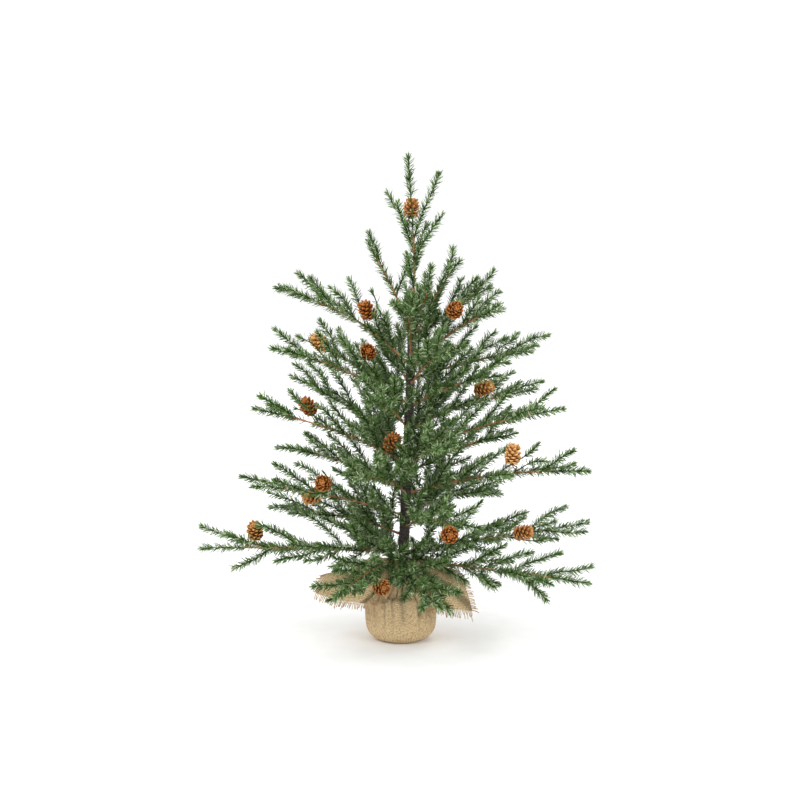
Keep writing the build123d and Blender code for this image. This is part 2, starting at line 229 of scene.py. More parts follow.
def bezier_elevation(points, t):
    a, b, c = points
    dx, dy, dz = (2 * (1 - t) * (q - p) + 2 * t * (r - q) for p, q, r in zip(a, b, c))
    return degrees(atan2(dz, hypot(dx, dy)))


def branch_curve(row):
    """The control points of a branch's curve: the hinge at the trunk, the arch and the tip."""
    _, height, azimuth, reach, rise, arch, _, _ = row
    hinge_out = trunk_radius(height) + KNUCKLE_GAP + KNUCKLE_RADIUS
    places = [(hinge_out, height), (0.42 * reach, height + 0.42 * rise + arch), (reach, height + rise)]
    axis_x = trunk_x(height)
    return [
        (axis_x + out * cos(radians(azimuth)), out * sin(radians(azimuth)), z) for out, z in places
    ]


def sprig_places(row):
    """How far along its branch's curve each sprig stands, from 0 to 1."""
    reach, count = row[3], row[6]
    first = min(0.5, FIRST_SPRIG / reach)
    return [first + (LAST_SPRIG - first) * k / max(count - 1, 1) for k in range(count)]


def branch_sprigs(row, number):
    """The start, bend and end of each side sprig."""
    _, _, azimuth, _, _, _, count, length = row
    curve = branch_curve(row)
    sprigs = []
    for k, t in enumerate(sprig_places(row)):
        along = k / max(count - 1, 1)
        side = 1 if (k + number) % 2 else -1
        splay = SPLAY_INNER + (SPLAY_OUTER - SPLAY_INNER) * along + 5 * sin(2.4 * number + 1.9 * k)
        roll = ROLL_INNER + (ROLL_OUTER - ROLL_INNER) * along + ROLL_SWING * sin(1.7 * number + 2.3 * k)
        sideways = side * splay * cos(radians(roll))
        upwards = splay * sin(radians(roll))
        size = length * (0.94 - 0.10 * along + 0.10 * sin(3.1 * k + number))
        slope = bezier_elevation(curve, t)
        start = bezier(curve, t)
        bend = stepped(start, azimuth + 1.25 * sideways, slope + 1.1 * upwards, 0.45 * size)
        end = stepped(bend, azimuth + 0.75 * sideways, slope + 0.75 * upwards, 0.55 * size)
        sprigs.append((start, bend, end))
    return sprigs


def twig(curve, t, heading, rise, curl, length):
    """The start, bend and end of a short twig from a place along a branch's curve."""
    start = bezier(curve, t)
    bend = stepped(start, heading, rise, 0.34 * length)
    return start, bend, stepped(bend, heading + curl, rise + 14, 0.36 * length)


def inner_twigs(row, number):
    """Short twigs close to the trunk, which cross in front of it."""
    name, height, azimuth, _, _, _, _, length = row
    if name.startswith("crown"):
        return []
    curve = branch_curve(row)
    towards_front = -1 if cos(radians(azimuth)) > 0 else 1
    twigs = []
    for k, t in enumerate(INNER_TWIGS if height < UPPER_WHORL else TOP_TWIGS):
        side = towards_front if k % 2 == 0 else -towards_front
        heading = azimuth + side * (78 - 14 * k + 8 * sin(2.9 * number + k))
        rise = 34 + 16 * sin(1.9 * number + 2.2 * k)
        twigs.append(twig(curve, t, heading, rise, side * 10, length))
    return twigs


def drooping_twigs(row, number):
    """Twigs that hang from the lowest branches, most of all in front of the burlap's neck."""
    name, height, azimuth, _, _, _, _, length = row
    if height > LOWEST_WHORL:
        return []
    curve = branch_curve(row)
    twigs = []
    for k, t in enumerate(FRONT_TWIGS if name.startswith("front") else LOW_TWIGS):
        side = 1 if (k + number) % 2 else -1
        heading = azimuth + side * (34 + 22 * sin(2.3 * k + number))
        droop = bezier_elevation(curve, t) - 24 - 8 * sin(1.7 * k)
        twigs.append(twig(curve, t, heading, droop, side * -12, length))
    return twigs


# ---------- mesh helpers


def unit(v):
    return v / np.maximum(np.linalg.norm(v, axis=-1, keepdims=True), 1e-12)


def smoothstep(low, high, value):
    t = np.clip((value - low) / (high - low), 0, 1)
    return t * t * (3 - 2 * t)


def added(name, data):
    """A new object of the scene that shows this data."""
    made = bpy.data.objects.new(name, data)
    bpy.context.scene.collection.objects.link(made)
    return made


def mesh_piece(name, verts, faces, material, body, values=None, smooth=True):
    """A mesh from points in millimetres and arrays of faces with equal corner counts, riding on a body.

    values holds the named numbers per point that the materials read.
    """
    mesh = bpy.data.meshes.new(name)
    verts = np.asarray(verts, dtype=np.float64)
    arrays = [np.asarray(f, dtype=np.int32) for f in faces if len(f)]
    corners = np.concatenate([a.ravel() for a in arrays])
    sizes = np.concatenate([np.full(len(a), a.shape[1], dtype=np.int32) for a in arrays])
    mesh.vertices.add(len(verts))
    mesh.vertices.foreach_set("co", (verts * MM).ravel())
    mesh.loops.add(len(corners))
    mesh.loops.foreach_set("vertex_index", corners)
    mesh.polygons.add(len(sizes))
    starts = np.concatenate([[0], np.cumsum(sizes)[:-1]])
    mesh.polygons.foreach_set("loop_start", starts.astype(np.int32))
    mesh.update(calc_edges=True)
    mesh.polygons.foreach_set("use_smooth", np.full(len(sizes), smooth))
    for key, data in (values or {}).items():
        layer = mesh.attributes.new(key, "FLOAT", "POINT")
        layer.data.foreach_set("value", np.asarray(data, dtype=np.float32))
    mesh.materials.append(material)
    piece = added(name, mesh)
    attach(piece, body)
    return piece


class Pile:
    """Gathers many small closed shapes into one mesh."""

    def __init__(self, *keys):
        self.verts = []
        self.faces = {3: [], 4: []}
        self.count = 0
        self.values = {key: [] for key in keys}

    def put(self, verts, faces, **values):
        self.verts.append(verts)
        for block in faces:
            block = np.asarray(block)
            self.faces[block.shape[1]].append(block + self.count)
        self.count += len(verts)
        for key, data in values.items():
            self.values[key].append(np.broadcast_to(data, len(verts)))

    def piece(self, name, material, body, slot, smooth=True):
        faces = [np.vstack(blocks) for blocks in self.faces.values() if blocks]
        values = {key: np.concatenate(data) for key, data in self.values.items()}
        return mesh_piece(name, np.vstack(self.verts), faces, material, body, values, smooth)


def directions(line):
    """The direction of a line at each of its points."""
    return unit(np.gradient(line, axis=0))


def along_line(points, spacing):
    """A line's points at even steps, with their directions and their distances from its start."""
    points = np.asarray(points, dtype=float)
    steps = np.linalg.norm(np.diff(points, axis=0), axis=1)
    reached = np.concatenate([[0], np.cumsum(steps)])
    count = max(int(round(reached[-1] / spacing)), 2)
    at = np.linspace(0, reached[-1], count + 1)
    line = np.stack([np.interp(at, reached, points[:, axis]) for axis in range(3)], axis=1)
    return line, directions(line), at


def side_directions(tangents):
    """Two directions across a line at each of its points, turning as little as they can."""
    mean = tangents.mean(axis=0)
    upright = abs(mean[2]) >= 0.8 * np.linalg.norm(mean)
    first = unit(np.cross(tangents, (0.0, 1.0, 0.0) if upright else (0.0, 0.0, 1.0)))
    return first, np.cross(tangents, first)


def grid_faces(rows, cols):
    """Faces of a grid of points that are stored row by row."""
    r, c = np.meshgrid(np.arange(rows - 1), np.arange(cols - 1), indexing="ij")
    a = (r * cols + c).ravel()
    return np.stack([a, a + 1, a + cols + 1, a + cols], axis=1)


def tube_faces(rings, sides):
    """Faces of a closed tube, whose two end points are stored after the points of its rings."""
    rows, cols = np.meshgrid(np.arange(rings - 1), np.arange(sides), indexing="ij")
    a = rows * sides + cols
    b = rows * sides + (cols + 1) % sides
    wall = np.stack([a, b, b + sides, a + sides], axis=-1).reshape(-1, 4)
    each = np.arange(sides)
    after = (each + 1) % sides
    last = (rings - 1) * sides
    start = np.full(sides, rings * sides)
    caps = [np.stack([start, after, each], axis=1), np.stack([start + 1, last + each, last + after], axis=1)]
    return [wall, np.concatenate(caps)]


def tube(line, tangents, radii, sides):
    """Points and faces of a closed tube along a line. radii is one number, or one for each ring or point."""
    first, second = side_directions(tangents)
    turn = np.arange(sides) * 2 * pi / sides
    ring = first[:, None] * np.cos(turn)[None, :, None] + second[:, None] * np.sin(turn)[None, :, None]
    if np.ndim(radii) < 2:
        radii = np.broadcast_to(radii, len(line))
    verts = (line[:, None] + ring * radii.reshape(len(line), -1, 1)).reshape(-1, 3)
    return np.vstack([verts, line[[0, -1]]]), tube_faces(len(line), sides)


def curved(points, count=24):
    """A smooth curve from the first of three points to the last, passing close to the middle one."""
    a, b, c = (np.asarray(p, dtype=float) for p in points)
    control = b + 0.4 * (b - (a + c) / 2)
    t = np.linspace(0, 1, count)[:, None]
    return (1 - t) ** 2 * a + 2 * t * (1 - t) * control + t * t * c


# ---------- materials


class Look:
    """A procedural material: its nodes are added one at a time, and each can take links or plain numbers."""

    def __init__(self, name, roughness, **constants):
        self.material = bpy.data.materials.new(name)
        self.material.use_nodes = True
        self.tree = self.material.node_tree
        self.shader = self.tree.nodes["Principled BSDF"]
        self.shader.inputs["Roughness"].default_value = roughness
        for socket, value in constants.items():
            self.shader.inputs[socket.replace("_", " ")].default_value = value

    def node(self, kind, *inputs, out=0, **settings):
        made = self.tree.nodes.new("ShaderNode" + kind)
        for key, value in settings.items():
            setattr(made, key, value)
        for index, value in enumerate(inputs):
            if value is None:
                continue
            if isinstance(value, bpy.types.NodeSocket):
                self.tree.links.new(value, made.inputs[index])
            else:
                made.inputs[index].default_value = value
        return made.outputs[out]

    def math(self, operation, a, b=0.0, c=0.0):
        return self.node("Math", a, b, c, operation=operation)

    def weighted(self, a, share, b, other):
        """Two numbers added together, each times its share."""
        return self.math("ADD", self.math("MULTIPLY", a, share), self.math("MULTIPLY", b, other))

    def value(self, name, share=1.0):
        """A share of one of the numbers that the mesh holds for each of its points."""
        return self.math("MULTIPLY", self.node("Attribute", attribute_name=name, out=2), share)

    def noise(self, scale, detail, stretch=None, place=None):
        """Noise over the object's own coordinates, or over another place."""
        if place is None:
            place = self.node("TexCoord", out=3)
        if stretch:
            place = self.node("Mapping", place, None, None, stretch)
        return self.node("TexNoise", place, None, scale, detail)

    def ramp(self, factor, *stops):
        made = self.tree.nodes.new("ShaderNodeValToRGB")
        self.tree.links.new(factor, made.inputs[0])
        elements = made.color_ramp.elements
        while len(elements) < len(stops):
            elements.new(0.5)
        for element, (position, colour) in zip(elements, stops):
            element.position = position
            element.color = (*colour, 1.0)
        return made.outputs[0]

    def mix(self, factor, a, b):
        made = self.tree.nodes.new("ShaderNodeMix")
        made.data_type = "RGBA"
        for index, value in ((0, factor), (6, a), (7, b)):
            if isinstance(value, bpy.types.NodeSocket):
                self.tree.links.new(value, made.inputs[index])
            else:
                made.inputs[index].default_value = value if index == 0 else (*value, 1.0)
        return made.outputs[2]

    def colour(self, socket):
        self.tree.links.new(socket, self.shader.inputs["Base Color"])

    def rough(self, socket):
        self.tree.links.new(socket, self.shader.inputs["Roughness"])

    def bump(self, height, distance, strength):
        """Links a height to a bump of this depth in metres."""
        made = self.tree.nodes.new("ShaderNodeBump")
        made.inputs["Strength"].default_value = strength
        made.inputs["Distance"].default_value = distance
        self.tree.links.new(height, made.inputs["Height"])
        self.tree.links.new(made.outputs["Normal"], self.shader.inputs["Normal"])


def needle_look():
    """Green film, folded and cut: each needle has its own shade at random, the darkest ones painted shade and
    the palest painted highlight, with painted highlight on its fold and tip.
    """
    look = Look("needle_film", 0.4, Specular_IOR_Level=0.16)
    # random tone per needle: its darkest stops are painted shade between the needles and its palest stop is
    # painted highlight
    base = look.ramp(
        look.value("shade"),
        (0.0, (0.01, 0.028, 0.001)),
        (0.4, (0.042, 0.118, 0.008)),
        (0.7, (0.155, 0.3, 0.07)),
        (1.0, (0.78, 0.88, 0.6)),
    )
    mottle = look.math("MULTIPLY", look.noise(900.0, 2.0), 0.5)
    base = look.mix(mottle, base, (0.012, 0.04, 0.002))
    # painted highlight: paler along each needle's fold and towards its tip
    look.colour(look.mix(look.value("along", 0.25), base, (0.3, 0.42, 0.19)))
    look.bump(look.noise(2500.0, 2.0), 0.0002, 0.35)
    return look.material


def tape_look():
    """Brown crepe paper wound round the branch wires, with painted shade in the grooves between its turns."""
    look = Look("stem_tape", 0.78)
    fine = look.noise(700.0, 5.0)
    broad = look.noise(90.0, 2.0)
    base = look.ramp(
        look.weighted(fine, 0.65, broad, 0.45),
        (0.3, (0.13, 0.055, 0.024)),
        (0.52, (0.38, 0.17, 0.072)),
        (0.75, (0.62, 0.33, 0.16)),
    )
    # painted shade: darker in the groove where each turn of tape steps over the last
    look.colour(look.mix(look.value("groove", 0.5), base, (0.12, 0.05, 0.022)))
    look.bump(fine, 0.0005, 0.7)
    return look.material


def bark_look():
    """Dark crepe tape of the trunk, greyer on the raised crests of its wrinkles as painted highlight, with
    painted shade in the grooves between its turns.
    """
    look = Look("bark_tape", 0.72)
    fine = look.noise(520.0, 6.0, (1.0, 1.0, 2.6))
    broad = look.noise(60.0, 3.0)
    # the palest, greyest stop is painted highlight on the crests that the fine noise also raises in the bump
    base = look.ramp(
        look.weighted(fine, 0.7, broad, 0.35),
        (0.3, (0.012, 0.008, 0.007)),
        (0.5, (0.038, 0.027, 0.023)),
        (0.72, (0.13, 0.105, 0.095)),
    )
    # painted shade in the grooves between the tape's turns
    look.colour(look.mix(look.value("groove", 0.75), base, (0.008, 0.006, 0.005)))
    look.bump(fine, 0.0009, 0.9)
    return look.material


def cone_look():
    """Woody scales with painted shade and highlight: dark deep inside the cone and under the scales, warm
    brown on their faces and paler on their lips and ridges.
    """
    look = Look("cone_scales", 0.52, Specular_IOR_Level=0.15)
    grain = look.noise(1300.0, 4.0, (1.0, 1.0, 0.4))
    # edge carries painted light: painted shade towards the core and on the scales' undersides, painted
    # highlight on their lips and ridges
    tone = look.weighted(look.value("edge"), 0.78, grain, 0.3)
    tone = look.weighted(tone, 1.0, look.value("shade"), 0.16)
    dark = look.ramp(
        tone,
        (0.3, (0.03, 0.008, 0.003)),
        (0.6, (0.2, 0.05, 0.01)),
        (0.84, (0.48, 0.15, 0.026)),
        (1.0, (0.68, 0.3, 0.085)),
    )
    golden = look.ramp(
        tone,
        (0.3, (0.12, 0.04, 0.01)),
        (0.56, (0.5, 0.2, 0.045)),
        (0.8, (0.78, 0.41, 0.14)),
        (1.0, (0.9, 0.6, 0.3)),
    )
    look.colour(look.mix(look.value("pale"), dark, golden))
    look.rough(look.math("MULTIPLY_ADD", grain, 0.3, 0.38))
    look.bump(grain, 0.0004, 0.6)
    return look.material


def burlap_look():
    """Plain-woven jute: warp over weft by turns, with uneven yarns, painted shade in the gaps between the
    yarns and painted highlight on their crests.
    """
    look = Look("burlap_weave", 0.92, Sheen_Weight=0.05, Sheen_Roughness=0.5, Specular_IOR_Level=0.1)
    flat = look.node("UVMap", uv_map="flat")
    split = look.tree.nodes.new("ShaderNodeSeparateXYZ")
    look.tree.links.new(flat, split.inputs[0])
    wobble = look.math("MULTIPLY", look.noise(160.0, 2.0), 0.9)
    per_metre = pi / (WEAVE_PITCH * MM)
    warp = look.math("SINE", look.math("MULTIPLY_ADD", split.outputs[0], per_metre, wobble))
    weft = look.math("SINE", look.math("MULTIPLY_ADD", split.outputs[1], per_metre, wobble))
    over = look.math("MULTIPLY_ADD", look.math("MULTIPLY", warp, weft), 2.0, 0.5)
    over = look.node("Clamp", over, 0.0, 1.0)
    one = look.math("MULTIPLY", look.math("ABSOLUTE", warp), over)
    other = look.math("MULTIPLY", look.math("ABSOLUTE", weft), look.math("SUBTRACT", 1.0, over))
    height = look.math("ADD", one, other)
    yarns = look.noise(1.0, 3.0, (60.0, 900.0, 1.0), flat)
    cross = look.noise(1.0, 3.0, (900.0, 60.0, 1.0), flat)
    slubs = look.noise(420.0, 2.0)
    # the weave's height darkens the gaps between yarns as painted shade and lightens their crests as painted
    # highlight
    tone = look.weighted(height, 0.62, look.weighted(yarns, 0.5, cross, 0.5), 0.6)
    tone = look.math("ADD", tone, look.math("MULTIPLY_ADD", slubs, 0.8, -0.4))
    base = look.ramp(
        tone,
        (0.2, (0.12, 0.055, 0.014)),
        (0.42, (0.44, 0.25, 0.085)),
        (0.62, (0.78, 0.53, 0.25)),
        (0.9, (1.0, 0.82, 0.52)),
    )
    # painted shade in the pleats' creases, the slits and the troughs of the ruffle
    look.colour(look.mix(look.value("fold", 0.75), base, (0.07, 0.036, 0.016)))
    look.bump(height, 0.0014, 1.0)
    return look.material


def yarn_look(name, low, middle, high):
    """Loose hairy yarn, darker in places."""
    look = Look(name, 0.9, Sheen_Weight=0.2)
    fine = look.noise(1100.0, 4.0)
    broad = look.noise(70.0, 2.0)
    tone = look.weighted(fine, 0.6, broad, 0.5)
    look.colour(look.ramp(tone, (0.3, low), (0.55, middle), (0.8, high)))
    look.bump(fine, 0.0003, 0.8)
    return look.material


def plain_look(name, low, high, scale, roughness, depth, **constants):
    """A hidden piece's surface: two tones of one colour with a grain of this scale."""
    look = Look(name, roughness, **constants)
    grain = look.noise(scale, 6.0)
    look.colour(look.ramp(grain, (0.3, low), (0.7, high)))
    look.bump(grain, depth, 0.6)
    return look.material


NEEDLE = needle_look()
TAPE = tape_look()
BARK = bark_look()
CONE = cone_look()
BURLAP = burlap_look()
FRAYED = yarn_look("frayed_yarn", (0.2, 0.115, 0.05), (0.47, 0.31, 0.155), (0.7, 0.54, 0.34))
TWINE = yarn_look("twine", (0.16, 0.09, 0.04), (0.36, 0.22, 0.11), (0.52, 0.36, 0.2))


# ---------- branches

# One needle: three sections of three points each, base to tip
NEEDLE_QUADS = np.array([
    (0, 1, 4, 3), (1, 2, 5, 4), (2, 0, 3, 5), (3, 4, 7, 6), (4, 5, 8, 7), (5, 3, 6, 8),
])
NEEDLE_TRIS = np.array([(2, 1, 0), (6, 7, 8)])


def add_needles(pile, centre, tangent, radial, lean, length, rng):
    """Needles at these points of a wire, each standing out along its radial and leaning to the wire's end."""
    count = len(centre)
    around = np.cross(tangent, radial)
    lean = lean[:, None]
    way = unit(tangent * np.cos(lean) + radial * np.sin(lean) + 0.16 * rng.normal(size=(count, 3)))
    across = unit(np.cross(way, np.cross(around, way)))
    normal = np.cross(way, across)
    twist = rng.uniform(-1.1, 1.1, count)[:, None]
    flat = across * np.cos(twist) + normal * np.sin(twist)
    normal = normal * np.cos(twist) - across * np.sin(twist)
    length = length[:, None]
    sag = 0.16 * length * (tangent + 0.7 * rng.normal(size=(count, 3)))
    width = NEEDLE_WIDTH * rng.uniform(0.85, 1.15, count)[:, None]
    base = centre + radial * CORE_RADIUS * 0.6
    sections = []
    for share, half, ridge in ((0.0, 0.42, 0.7), (0.55, 0.5, 1.0), (1.0, 0.2, 0.35)):
        middle = base + way * length * share + sag * share * share
        sections += [
            middle - flat * width * half,
            middle + flat * width * half,
            middle + normal * NEEDLE_RIDGE * ridge,
        ]
    verts = np.stack(sections, axis=1).reshape(-1, 3)
    offset = (np.arange(count) * 9)[:, None, None]
    quads = (NEEDLE_QUADS[None] + offset).reshape(-1, 4)
    tris = (NEEDLE_TRIS[None] + offset).reshape(-1, 3)
    shade = np.repeat(rng.uniform(0, 1, count) ** 1.1, 9)
    # share of the way to the tip, raised on the fold's points: where the painted highlight goes
    along = np.tile([0, 0, 0.15, 0.45, 0.45, 0.8, 1, 1, 1], count)
    pile.put(verts, [quads, tris], shade=shade, along=along)


def sampled(at, data, place):
    """Rows of data, known at some distances along a line, at other distances along it."""
    return np.stack([np.interp(place, at, data[:, axis]) for axis in range(3)], axis=1)


def add_brush(pile, points, start, rng, gaps=()):
    """A twisted wire with needles from a distance along it to its end, where they splay like a paintbrush.

    gaps are stretches, as shares of the line, that have only a few needles.
    """
    line, tangents, at = along_line(points, 2.5)
    body, faces = tube(line, tangents, CORE_RADIUS, 6)
    pile.put(body, faces, shade=0.1, along=0.0)
    total = at[-1]
    count = int((total - start) * NEEDLES_PER_MM)
    place = np.sort(start + (total - start) * (np.arange(count) + rng.uniform(0, 1, count)) / count)
    centre = sampled(at, line, place)
    share = place / total
    keep = np.ones(count, dtype=bool)
    for low, high in gaps:
        keep &= (share < low) | (share > high) | (rng.uniform(size=count) < 0.06)
    for cone in CONE_CENTRES:
        keep &= (np.linalg.norm(centre - cone, axis=1) > CLEARING) | (rng.uniform(size=count) < 0.15)
    place = place[keep]
    centre = centre[keep]
    count = len(place)
    first, second = side_directions(tangents)
    turn = (np.arange(count) * GOLDEN_ANGLE + rng.normal(0, 0.35, count))[:, None]
    radial = unit(sampled(at, first, place)) * np.cos(turn) + unit(sampled(at, second, place)) * np.sin(turn)
    near_end = np.exp((place - total) / 5.0)
    lean = np.radians(NEEDLE_LEAN - 22 * near_end + rng.normal(0, 6, count))
    length = NEEDLE_LENGTH * rng.uniform(0.84, 1.08, count) * (0.7 + 0.3 * smoothstep(0, 9, place - start))
    length *= 1 - 0.16 * near_end
    add_needles(pile, centre, unit(sampled(at, tangents, place)), radial, lean, length, rng)
    tip = np.repeat(line[-1:], TUFT, axis=0)
    turn = (np.arange(TUFT) * GOLDEN_ANGLE)[:, None]
    radial = first[-1] * np.cos(turn) + second[-1] * np.sin(turn)
    forward = np.repeat(tangents[-1:], TUFT, axis=0)
    lean = np.radians(rng.uniform(4, 30, TUFT))
    add_needles(pile, tip, forward, radial, lean, NEEDLE_LENGTH * rng.uniform(0.6, 0.85, TUFT), rng)


def add_taped_stem(pile, points, length, joints, foot):
    """A paper-wrapped stem: wound ridges, a round foot at the trunk and a swelling at each sprig."""
    line, tangents, at = along_line(points, 0.9)
    inside = at <= length
    line, tangents, at = line[inside], tangents[inside], at[inside]
    sides = 10
    turn = np.arange(sides) / sides
    wound = (at[:, None] / STEM_TAPE_PITCH + turn[None]) % 1.0
    ridge = 0.14 * (wound - 0.5)
    swelling = sum(0.55 * np.exp(-((at - place - 2.5) / 4.0) ** 2) for place in joints)
    bulb = (foot - TAPE_RADIUS) * np.exp(-(at / 4.0) ** 2)
    taper = 1.0 - 0.38 * at / max(at[-1], 1)
    radii = (TAPE_RADIUS * taper + swelling + bulb)[:, None] + ridge
    radii[-1] *= 0.5
    verts, faces = tube(line, tangents, radii, sides)
    # marks the step between the tape's turns, where painted shade darkens the colour
    groove = np.concatenate([(np.abs(wound - 0.02) < 0.1).astype(float).ravel(), [0, 0]])
    pile.put(verts, faces, groove=groove)


def wobbly(points, number, size):
    """The same line with the small waves of a wire bent by hand. Its start stays where it is."""
    points = np.asarray(points, dtype=float)
    t = np.linspace(0, 1, len(points))[:, None]
    phase = 1.7 * number
    sway = np.array([[sin(phase), cos(1.3 * phase), sin(2.1 * phase)]])
    other = np.array([[cos(2.3 * phase), sin(0.7 * phase), cos(phase)]])
    return points + size * (sway * np.sin(2.2 * pi * t) + other * np.sin(1.3 * pi * t)) * t


def finish_spray(name, body, node, needles, taped):
    """Makes the needles and the stem of a spray into pieces, shown in place of its CAD node."""
    green = needles.piece(f"needles_{name}", NEEDLE, body, "needles", smooth=False)
    brown = taped.piece(f"stem_{name}", TAPE, body, "needles")
    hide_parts(node)
    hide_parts(node)


def make_branch(row, number):
    """One branch as two pieces: its taped stem, and its needles with their twisted wires."""
    name = row[0]
    curve = branch_curve(row)
    stem = wobbly([bezier(curve, t) for t in np.linspace(0, 1, 40)], number, 1.3)
    inward = unit(stem[0] - stem[1]) * np.array([1, 1, 0])
    total = np.linalg.norm(np.diff(stem, axis=0), axis=1).sum()
    rng = np.random.default_rng(1000 + number)
    needles = Pile("shade", "along")
    taped = Pile("groove")
    joints = [t * total for t in sprig_places(row)]
    rooted = np.vstack([stem[0] + unit(inward) * 2.4, stem])
    add_taped_stem(taped, rooted, joints[-1] + 9, joints, KNUCKLE_RADIUS)
    gap = (0.12 + 0.03 * (number % 4), 0.2 + 0.035 * (number % 5))
    add_brush(needles, stem, BARE_STEM, rng, [gap])
    sprigs = [*branch_sprigs(row, number), *inner_twigs(row, number), *drooping_twigs(row, number)]
    for k, sprig in enumerate(sprigs):
        line = wobbly(curved(sprig), number * 9 + k, 1.6)
        add_brush(needles, line, 4.0, rng)
        add_taped_stem(taped, line, 5.0, [], CORE_RADIUS)
    finish_spray(name, name, f"branch_{name}", needles, taped)


def leader_lines():
    top = np.array([trunk_x(TRUNK_TOP), 0, TRUNK_TOP])
    return [np.asarray(wire, dtype=float) + top for wire in [LEADER_STEM, *LEADER_SPRIGS]]


def make_leader():
    """The leader: a taped stem that shows between its sprigs, with needles from its middle up."""
    lines = leader_lines()
    corners = lines[0]
    stem = sampled(np.linspace(0, 1, len(corners)), corners, np.linspace(0, 1, 50))
    stem = wobbly(stem, 5, 1.2)
    rng = np.random.default_rng(77)
    needles = Pile("shade", "along")
    taped = Pile("groove")
    joints = [line[0][2] - corners[0][2] for line in lines[1:]]
    add_taped_stem(taped, np.vstack([stem[0] - (0, 0, 4), stem]), max(joints) + 14, joints, KNUCKLE_RADIUS)
    add_brush(needles, stem, 14.0, rng, [(0.0, 0.3), (0.48, 0.57)])
    for k, sprig in enumerate(lines[1:]):
        add_brush(needles, wobbly(curved(sprig), 300 + k, 1.4), 4.0, rng)
    finish_spray("leader", "top_leader_body", "top_leader", needles, taped)


# ---------- trunk


def make_trunk():
    """The trunk's tape: wound turns, and ridges where the feet of the branch wires lie under it."""
    sides = TRUNK_SIDES
    turn = np.arange(sides) / sides
    heights = np.arange(WRAP_START, TRUNK_TOP + 0.4, 0.85)
    height = heights[:, None]
    angle = turn[None] * 2 * pi
    radius = np.array([trunk_radius(z) for z in heights])[:, None] - 0.15
    wound = (height / TAPE_PITCH + turn[None] + 0.25 * np.sin(height / 23)) % 1.0
    radius = radius + 0.55 * (wound - 0.6)
    radius = radius + 0.12 * np.sin(angle * 9 + height * 2.1) * np.sin(height * 1.3 + angle * 4)
    for _, root, azimuth, *_ in BRANCHES:
        apart = (angle - radians(azimuth) + pi) % (2 * pi) - pi
        sideways = np.exp(-((apart * trunk_radius(root)) / 2.3) ** 2)
        below = smoothstep(root - 34, root - 6, height) * (1 - smoothstep(root + 1.0, root + 3.5, height))
        radius = radius + 0.9 * sideways * below
    centre_x = np.array([trunk_x(z) for z in heights])[:, None]
    wall = np.stack([
        centre_x + radius * np.cos(angle), radius * np.sin(angle), np.broadcast_to(height, radius.shape)
    ], axis=-1).reshape(-1, 3)
    ends = [(centre_x[0, 0], 0, heights[0]), (centre_x[-1, 0], 0, heights[-1] + 0.5)]
    # marks the step between the tape's turns, where painted shade darkens the colour
    groove = np.concatenate([(np.abs(wound - 0.05) < 0.12).astype(float).ravel(), [0, 0]])
    trunk = mesh_piece(
        "trunk_tape", np.vstack([wall, ends]), tube_faces(len(heights), sides), BARK, "root",
        {"groove": groove},
    )
    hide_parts("trunk_wrap")


# ---------- pine cones


def cone_scale(reach, width, rows=7, cols=7):
    """One scale lying along +X with its upper face to +Z: a narrow root that widens to a thick lip."""
    u = np.linspace(0, 1, rows)[:, None]
    v = np.linspace(-1, 1, cols)[None]
    half = width / 2 * (0.32 + 0.68 * np.sin(pi / 2 * np.clip(u / 0.72, 0, 1)))
    half = half * np.sqrt(np.clip(1 - 0.62 * (np.clip(u - 0.72, 0, 1) / 0.28) ** 2, 0, 1))
    x = reach * u * (1 - 0.16 * v * v * u) + 0 * v
    y = half * v
    cup = 0.10 * width * v * v * u + 0.16 * reach * u * u * u
    ridge = 0.35 * np.exp(-(v / 0.3) ** 2) * smoothstep(0.55, 0.95, u)
    thick = (0.5 + 1.0 * smoothstep(0.6, 1.0, u)) * (1 - 0.45 * v * v)
    top = np.stack([x, y, cup + ridge + 0 * x], axis=-1).reshape(-1, 3)
    under = np.stack([x * 0.985, y * 0.94, cup - thick], axis=-1).reshape(-1, 3)
    size = rows * cols
    upper = grid_faces(rows, cols)[:, [0, 3, 2, 1]]
    lower = upper[:, ::-1] + size
    grid = np.arange(size).reshape(rows, cols)
    rim = np.concatenate([grid[0, :-1], grid[:-1, -1], grid[-1, :0:-1], grid[:0:-1, 0]])
    after = np.roll(rim, -1)
    wall = np.stack([rim, after, after + size, rim + size], axis=1)
    # painted light per point: painted shade at the scale's root deep in the cone and on its underside,
    # painted highlight at its lip and along its ridge
    edge = np.clip(u ** 2.2 + 0 * v, 0, 1).ravel()
    lip = np.clip(0.75 * edge + 0.35 * (v * v * u).ravel() + 0.3 * ridge.ravel(), 0, 1)
    return np.vstack([top, under]), [np.vstack([upper, lower, wall])], np.concatenate([lip, 0.65 * edge])


